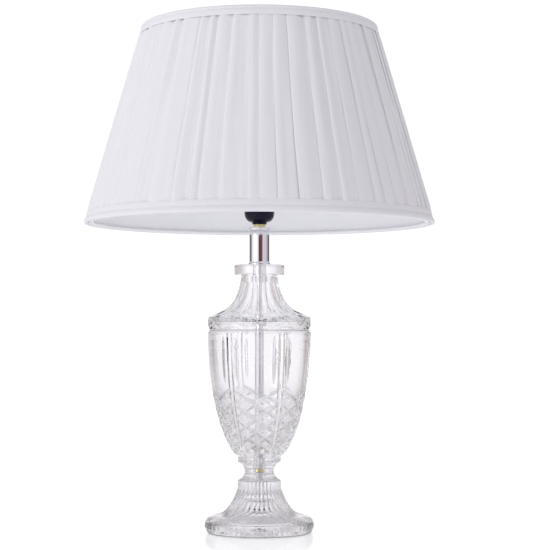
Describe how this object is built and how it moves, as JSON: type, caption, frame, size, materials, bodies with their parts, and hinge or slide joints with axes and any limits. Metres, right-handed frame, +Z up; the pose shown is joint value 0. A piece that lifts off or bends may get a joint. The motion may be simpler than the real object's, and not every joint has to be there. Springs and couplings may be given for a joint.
{
  "type": "table lamp with shade",
  "caption": "Table lamp: cut-glass urn on a bell foot, glass lid, chromed neck, screw lampholder, and a tapered pleated fabric shade on a wire frame.",
  "frame": {"origin": "on the surface the lamp stands on, under the middle of the lamp", "axes": "+Z up along the rod's axis; the front of the lamp faces -Y and the cord notch is at the back, +Y"},
  "size_m": [0.4, 0.4, 0.578],
  "materials": {
    "cut_glass": "clear, polished",
    "clear_plastic": "soft translucent",
    "chrome": "polished",
    "brass": "bright machined",
    "zinc_steel": "zinc plated",
    "black_plastic": "moulded, glossy",
    "white_ceramic": "glazed",
    "white_wire": "epoxy coated",
    "pleated_fabric": "fine plain weave, slight sheen",
    "white_lining": "smooth laminate",
    "trim_fabric": "folded fabric band"
  },
  "bodies": {
    "base": {"foot_glass": "cut_glass", "foot_pad_ring": "clear_plastic", "waist_washer": "brass", "foot_washer": "zinc_steel", "foot_nut": "zinc_steel", "hollow_rod": "brass", "rod_end_bush": "black_plastic", "urn_glass": "cut_glass", "rim_gasket": "clear_plastic", "lid_glass": "cut_glass", "rod_sleeve": "chrome", "neck_tube": "chrome", "neck_lower_washer": "zinc_steel", "neck_upper_washer": "chrome", "neck_nut": "brass", "holder_cap": "black_plastic", "holder_shell": "black_plastic", "holder_insert": "white_ceramic", "screw_shell": "brass", "terminal_left": "brass", "terminal_right": "brass"},
    "contact_spring": {"centre_contact": "brass"},
    "seat_ring": {"lower_shade_ring": "black_plastic"},
    "shade": {"fitter_ring": "white_wire", "frame_arm_1": "white_wire", "frame_arm_2": "white_wire", "frame_arm_3": "white_wire", "bottom_wire_ring": "white_wire", "top_wire_ring": "white_wire", "pleated_cover": "pleated_fabric", "shade_lining": "white_lining", "top_trim": "trim_fabric", "bottom_trim": "trim_fabric"},
    "clamp_ring": {"upper_shade_ring": "black_plastic"}
  },
  "joints": [
    {"name": "shade_lift", "type": "slide", "parent": "base", "child": "seat_ring", "axis": [0, 0, 1], "range_m": [0, 0.05]},
    {"name": "shade_turn", "type": "hinge", "parent": "seat_ring", "child": "shade", "pos_m": [0, 0, 0.3845], "axis": [0, 0, 1], "continuous": true},
    {"name": "clamp_ring_turn", "type": "hinge", "parent": "shade", "child": "clamp_ring", "pos_m": [0, 0, 0.3886], "axis": [0, 0, 1], "continuous": true},
    {"name": "contact_flex", "type": "hinge", "parent": "base", "child": "contact_spring", "pos_m": [0, 0.0043, 0.3786], "axis": [1, 0, 0], "range_deg": [0, 12], "stiffness_Nm_per_rad": 0.05}
  ]
}
